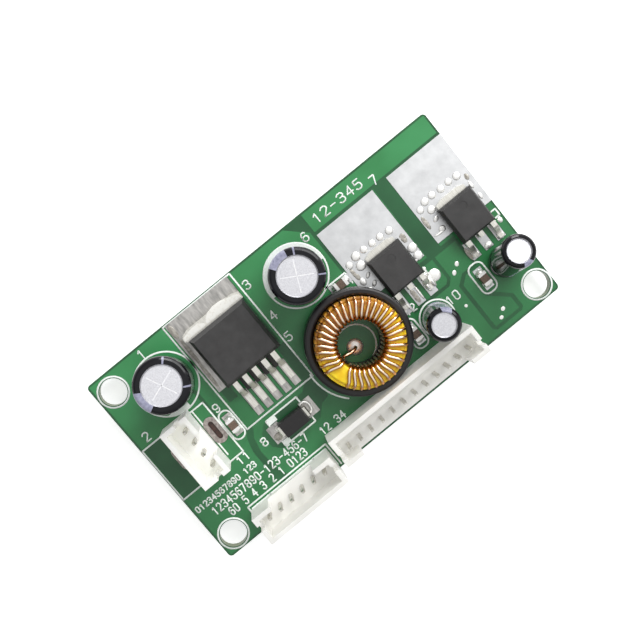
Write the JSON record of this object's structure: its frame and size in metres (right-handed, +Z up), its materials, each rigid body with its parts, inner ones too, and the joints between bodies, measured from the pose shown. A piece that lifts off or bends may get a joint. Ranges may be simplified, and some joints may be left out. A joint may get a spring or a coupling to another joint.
{
  "type": "buck converter module",
  "caption": "Rectangular circuit board with a wire-wound toroid inductor, upright can capacitors, flat power regulators and open-sided pin headers along its edges.",
  "frame": {"origin": "centre of the front left mounting hole at the board's underside", "axes": "+X along the board's long edge, +Y towards the rear edge, +Z up out of the component side"},
  "size_m": [0.0621, 0.0332, 0.0154],
  "materials": {
    "circuit_board": "green solder mask over glass epoxy",
    "solder": "satin solder",
    "leads": "tinned",
    "holder_plastic": "black moulded",
    "core_coating": "yellow epoxy coat over iron powder",
    "copper_wire": "clear enamelled copper",
    "sleeve_film": "dark shrink film",
    "can_aluminium": "plain drawn",
    "foil_roll": "wound foil and paper",
    "bung_rubber": "matt",
    "mould_compound": "grey-black epoxy",
    "header_plastic": "natural white moulded",
    "chip_ceramic": "fired tan ceramic"
  },
  "bodies": {
    "root": {"circuit_board": "circuit_board", "tinned_pads": "solder", "plated_slots": "solder", "solder_bumps": "solder", "solder_joints": "solder", "inductor_holder": "holder_plastic", "inductor_core": "core_coating", "inductor_winding": "copper_wire", "capacitor_1_sleeve": "sleeve_film", "capacitor_1_can": "can_aluminium", "capacitor_1_roll": "foil_roll", "capacitor_1_bung": "bung_rubber", "capacitor_1_leads": "leads", "capacitor_2_sleeve": "sleeve_film", "capacitor_2_can": "can_aluminium", "capacitor_2_roll": "foil_roll", "capacitor_2_bung": "bung_rubber", "capacitor_2_leads": "leads", "capacitor_3_sleeve": "sleeve_film", "capacitor_3_can": "can_aluminium", "capacitor_3_roll": "foil_roll", "capacitor_3_bung": "bung_rubber", "capacitor_3_leads": "leads", "capacitor_4_sleeve": "sleeve_film", "capacitor_4_can": "can_aluminium", "capacitor_4_roll": "foil_roll", "capacitor_4_bung": "bung_rubber", "capacitor_4_leads": "leads", "regulator_1_body": "mould_compound", "regulator_1_tab": "leads", "regulator_1_leads": "leads", "regulator_2_body": "mould_compound", "regulator_2_tab": "leads", "regulator_2_leads": "leads", "regulator_3_body": "mould_compound", "regulator_3_tab": "leads", "regulator_3_leads": "leads", "header_4_housing": "header_plastic", "header_4_pins": "leads", "header_6_housing": "header_plastic", "header_6_pins": "leads", "header_12_housing": "header_plastic", "header_12_pins": "leads", "diode_body": "mould_compound", "diode_terminals": "leads", "chip_bodies": "chip_ceramic", "chip_ends": "solder"}
  },
  "joints": []
}
